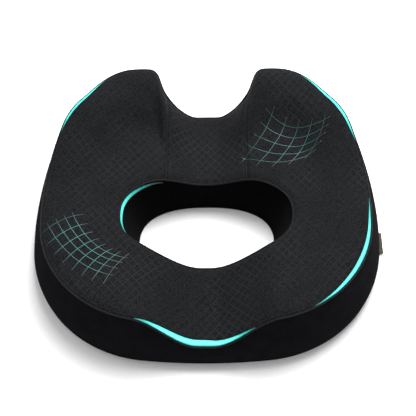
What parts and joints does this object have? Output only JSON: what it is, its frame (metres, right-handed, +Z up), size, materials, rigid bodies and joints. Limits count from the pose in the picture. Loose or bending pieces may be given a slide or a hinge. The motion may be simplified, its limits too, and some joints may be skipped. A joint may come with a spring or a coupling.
{
  "type": "seat cushion",
  "caption": "Ring-shaped contoured seat cushion: foam core, raised rear horns, rear notch, centre opening, and a sewn knit cover with a shoulder zip.",
  "frame": {"origin": "on the surface that the cushion rests on, at the middle of its outline", "axes": "+X to the sitter's right seen from the front edge, +Y towards the horns and the notch at the rear, +Z up"},
  "size_m": [0.4695, 0.4163, 0.1108],
  "materials": {
    "jacquard_knit": "diamond jacquard polyester knit, charcoal",
    "plain_knit": "plain smooth knit, near black",
    "grip_cloth": "woven cloth with moulded non-slip dots",
    "piping": "turned seam edge with top stitching",
    "memory_foam": "open-cell polyurethane foam",
    "zip_tape": "woven zip tape",
    "zip_nylon": "nylon coil",
    "zip_metal": "dark lacquered zinc",
    "tag_weave": "woven ribbon with plain orange bars",
    "teal_film": "heat-pressed teal film"
  },
  "bodies": {
    "cushion": {"foam_core": "memory_foam", "top_panel": "jacquard_knit", "bridge_panel": "jacquard_knit", "front_gusset": "plain_knit", "shoulder_gusset_right": "plain_knit", "shoulder_gusset_left": "plain_knit", "notch_gusset": "plain_knit", "opening_wall": "plain_knit", "bottom_panel": "grip_cloth", "outer_welt": "piping", "opening_welt": "piping", "foot_seam": "piping", "bridge_seam_left": "piping", "bridge_seam_right": "piping", "zip_tape_lower": "zip_tape", "zip_tape_upper": "zip_tape", "zip_coil_lower": "zip_nylon", "zip_coil_upper": "zip_nylon", "zip_stop_side": "zip_metal", "zip_stop_horn": "zip_metal", "side_tag": "tag_weave", "accent_front": "teal_film", "accent_right": "teal_film", "accent_rear_left": "teal_film", "accent_rear_right": "teal_film"},
    "zip_slider": {"zip_slider": "zip_metal"},
    "zip_pull_tab": {"zip_pull_tab": "zip_metal"}
  },
  "joints": [
    {"name": "zip_run", "type": "hinge", "parent": "cushion", "child": "zip_slider", "pos_m": [-0.0901, 0.0783, 0.011], "axis": [0, 0, -1], "range_deg": [0, 67.3]},
    {"name": "pull_tab_swing", "type": "hinge", "parent": "zip_slider", "child": "zip_pull_tab", "pos_m": [-0.2139, 0.1256, 0.011], "axis": [0, 0, 1], "range_deg": [0, 175]}
  ]
}
